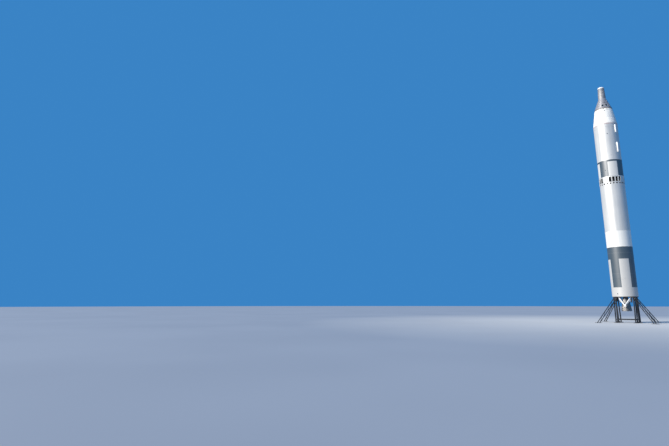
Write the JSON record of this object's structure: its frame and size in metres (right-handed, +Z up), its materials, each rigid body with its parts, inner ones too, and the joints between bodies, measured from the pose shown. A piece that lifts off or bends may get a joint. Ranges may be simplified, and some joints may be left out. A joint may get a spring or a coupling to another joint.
{
  "type": "two-stage crewed space rocket on a display stand",
  "caption": "Tall two-stage liquid-fuel rocket with a small crew capsule whose hatches open and engines that tilt, held upright on a braced steel display stand.",
  "frame": {"origin": "on the ground at the middle of the stand, on the rocket's axis", "axes": "+Z up along the rocket's axis; -Y towards the side with the crew hatches; +X to the right of someone who faces that side"},
  "size_m": [8.7444, 8.7444, 34.48],
  "materials": {
    "body_white": "satin white paint",
    "tank_silver": "silver-white paint, half gloss",
    "capsule_metal": "dark oxidised metal shingles",
    "stand_black": "black paint on structural steel",
    "frame_white": "white paint on tube",
    "engine_metal": "heat-dulled steel",
    "shield_brown": "brown ablative resin",
    "seat_grey": "grey woven cover",
    "panel_grey": "grey matt paint",
    "window_glass": "dark clear glass"
  },
  "bodies": {
    "vehicle": {"aft_skirt": "body_white", "fuel_tank": "body_white", "between_tanks_band": "body_white", "upper_engine_shell": "body_white", "raceway_low": "body_white", "raceway_high": "body_white", "adapter_low": "body_white", "adapter_high": "body_white", "nose_cap": "body_white", "oxidiser_tank": "tank_silver", "interstage": "tank_silver", "upper_tanks": "tank_silver", "forward_skirt": "tank_silver", "cabin_shell": "capsule_metal", "thruster_section": "capsule_metal", "nose_section": "capsule_metal", "support_ring": "stand_black", "leg_1": "stand_black", "leg_2": "stand_black", "leg_3": "stand_black", "leg_4": "stand_black", "brace_1": "stand_black", "brace_2": "stand_black", "brace_3": "stand_black", "brace_4": "stand_black", "tie_beam_front": "stand_black", "tie_beam_right": "stand_black", "tie_beam_rear": "stand_black", "tie_beam_left": "stand_black", "thrust_frame": "frame_white", "strut_front": "frame_white", "strut_rear": "frame_white", "upper_thrust_frame": "frame_white", "pump_front": "engine_metal", "pump_rear": "engine_metal", "heat_shield": "shield_brown", "seat_right": "seat_grey", "seat_left": "seat_grey", "cabin_bulkhead": "panel_grey", "instrument_panel": "panel_grey"},
    "hatch_right_body": {"hatch_right": "capsule_metal", "window_right": "window_glass"},
    "hatch_left_body": {"hatch_left": "capsule_metal", "window_left": "window_glass"},
    "cross_front": {"cross_piece_front": "engine_metal"},
    "engine_front": {"chamber_front": "engine_metal"},
    "cross_rear": {"cross_piece_rear": "engine_metal"},
    "engine_rear": {"chamber_rear": "engine_metal"},
    "cross_upper": {"cross_piece_upper": "engine_metal"},
    "engine_upper": {"chamber_upper": "engine_metal"}
  },
  "joints": [
    {"name": "hatch_right_hinge", "type": "hinge", "parent": "vehicle", "child": "hatch_right_body", "pos_m": [0.58315, -0.66613, 31.60626], "axis": [-0.2291, 0.2617, 0.9375], "range_deg": [0, 75]},
    {"name": "hatch_left_hinge", "type": "hinge", "parent": "vehicle", "child": "hatch_left_body", "pos_m": [-0.58315, -0.66613, 31.60626], "axis": [-0.2291, -0.2617, -0.9375], "range_deg": [0, 75]},
    {"name": "engine_front_pitch", "type": "hinge", "parent": "vehicle", "child": "cross_front", "pos_m": [-0.24721, -0.76085, 4.25], "axis": [0.9511, -0.309, 0], "range_deg": [-4.5, 4.5]},
    {"name": "engine_front_yaw", "type": "hinge", "parent": "cross_front", "child": "engine_front", "pos_m": [-0.24721, -0.76085, 4.25], "axis": [0.309, 0.9511, 0], "range_deg": [-4.5, 4.5]},
    {"name": "engine_rear_pitch", "type": "hinge", "parent": "vehicle", "child": "cross_rear", "pos_m": [0.24721, 0.76085, 4.25], "axis": [0.9511, -0.309, 0], "range_deg": [-4.5, 4.5]},
    {"name": "engine_rear_yaw", "type": "hinge", "parent": "cross_rear", "child": "engine_rear", "pos_m": [0.24721, 0.76085, 4.25], "axis": [0.309, 0.9511, 0], "range_deg": [-4.5, 4.5]},
    {"name": "engine_upper_pitch", "type": "hinge", "parent": "vehicle", "child": "cross_upper", "pos_m": [0, 0, 22.15], "axis": [1, 0, 0], "range_deg": [-2, 2]},
    {"name": "engine_upper_yaw", "type": "hinge", "parent": "cross_upper", "child": "engine_upper", "pos_m": [0, 0, 22.15], "axis": [0, 1, 0], "range_deg": [-2, 2]}
  ]
}
